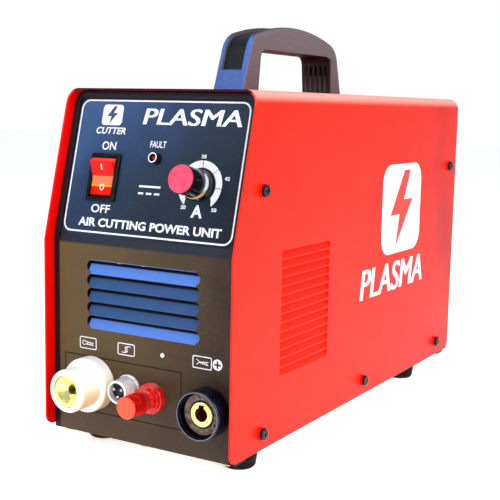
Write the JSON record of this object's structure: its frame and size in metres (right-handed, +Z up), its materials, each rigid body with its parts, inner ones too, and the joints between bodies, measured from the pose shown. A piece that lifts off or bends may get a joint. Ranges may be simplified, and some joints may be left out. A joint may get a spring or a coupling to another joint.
{
  "type": "plasma cutter unit",
  "caption": "Portable inverter air plasma cutter power unit in a red sheet case with handle, sloped control panel, torch and work-lead sockets.",
  "frame": {"origin": "centre of the whole unit's footprint, on the surface that the rubber feet stand on", "axes": "+Z up, the control panel faces -Y, +X to the right seen from the front"},
  "size_m": [0.1584, 0.4254, 0.2955],
  "materials": {
    "red_coat": "satin red powder coat",
    "black_moulding": "fine-grained black ABS",
    "black_sheet": "black powder coat",
    "zinc_plate": "galvanised sheet",
    "black_screws": "black zinc",
    "zinc_screws": "yellow passivated zinc",
    "rubber": "moulded rubber",
    "handle_plastic": "fine-grained nylon",
    "label_film": "printed polyester film",
    "switch_black": "moulded nylon",
    "switch_red": "translucent red polycarbonate",
    "chrome": "polished plating",
    "led_red": "clear red",
    "knob_black": "polished black",
    "cap_red": "polished coral red",
    "nickel": "nickel plate",
    "steel": "turned steel",
    "white_nylon": "turned nylon",
    "brass": "turned brass",
    "copper": "copper",
    "post_red": "moulded red",
    "socket_black": "moulded black",
    "grey_plastic": "moulded grey",
    "fan_black": "moulded PBT",
    "hose_blue": "polyurethane hose",
    "aluminium": "extruded",
    "board_green": "solder mask",
    "part_black": "epoxy",
    "ferrite": "ferrite"
  },
  "bodies": {
    "case": {"air_inlet": "brass", "base_plate": "zinc_plate", "board_parts": "part_black", "board_standoffs": "zinc_plate", "connector_plate": "black_moulding", "control_label": "label_film", "cover": "red_coat", "cover_screws": "black_screws", "earth_socket_contact": "brass", "earth_socket_insulator": "grey_plastic", "earth_socket_nuts": "nickel", "earth_socket_shell": "socket_black", "fan_frame": "fan_black", "fan_guard": "steel", "fan_screws": "steel", "foot_front_left": "rubber", "foot_front_right": "rubber", "foot_rear_left": "rubber", "foot_rear_right": "rubber", "foot_screws": "zinc_screws", "front_panel": "black_moulding", "handle": "handle_plastic", "handle_screws": "steel", "heat_sink_left": "aluminium", "heat_sink_right": "aluminium", "inlet_hose": "hose_blue", "led_bezel": "chrome", "led_lens": "led_red", "lock_nuts": "nickel", "main_board": "board_green", "mains_gland": "switch_black", "panel_screws": "zinc_screws", "pilot_socket_insert": "socket_black", "pilot_socket_pins": "nickel", "pilot_socket_shell": "chrome", "post_flange": "post_red", "post_nuts": "brass", "post_stud": "nickel", "pot_body": "steel", "rear_panel": "black_sheet", "sink_pillars": "zinc_plate", "switch_housing": "switch_black", "switch_terminals": "brass", "torch_brass_union": "brass", "torch_hose": "hose_blue", "torch_lock_nut": "brass", "torch_power_lug": "copper", "torch_socket_body": "white_nylon", "transformer": "ferrite", "transistors": "part_black", "valve_body": "brass", "valve_coil": "part_black"},
    "rocker": {"switch_rocker": "switch_red"},
    "knob": {"current_knob": "knob_black", "knob_cap": "cap_red", "pot_shaft": "steel"},
    "rotor": {"fan_rotor": "fan_black"},
    "post_slider": {"post_washer": "nickel"},
    "post_head": {"post_cap": "post_red"},
    "plunger": {"valve_plunger": "steel"}
  },
  "joints": [
    {"name": "power_rocker", "type": "hinge", "parent": "case", "child": "rocker", "pos_m": [-0.0392, -0.17273, 0.18652], "axis": [1, 0, 0], "range_deg": [-28, 0]},
    {"name": "current_dial", "type": "hinge", "parent": "case", "child": "knob", "pos_m": [0.0375, -0.17303, 0.18536], "axis": [0, -0.9691, 0.2466], "range_deg": [-280, 0]},
    {"name": "fan_spin", "type": "hinge", "parent": "case", "child": "rotor", "pos_m": [0, 0.169, 0.091], "axis": [0, 1, 0], "continuous": true},
    {"name": "post_travel", "type": "slide", "parent": "case", "child": "post_slider", "axis": [0, -1, 0], "range_m": [0, 0.004]},
    {"name": "post_turn", "type": "hinge", "parent": "post_slider", "child": "post_head", "pos_m": [0.0096, -0.199, 0.0463], "axis": [0, -1, 0], "range_deg": [0, 2057.2]},
    {"name": "valve_stroke", "type": "slide", "parent": "case", "child": "plunger", "axis": [0, 0, -1], "range_m": [0, 0.0014], "stiffness_N_per_m": 120}
  ],
  "couplings": [
    {"joint": "post_turn", "follows": "post_travel", "rad_per_m": 8976}
  ]
}
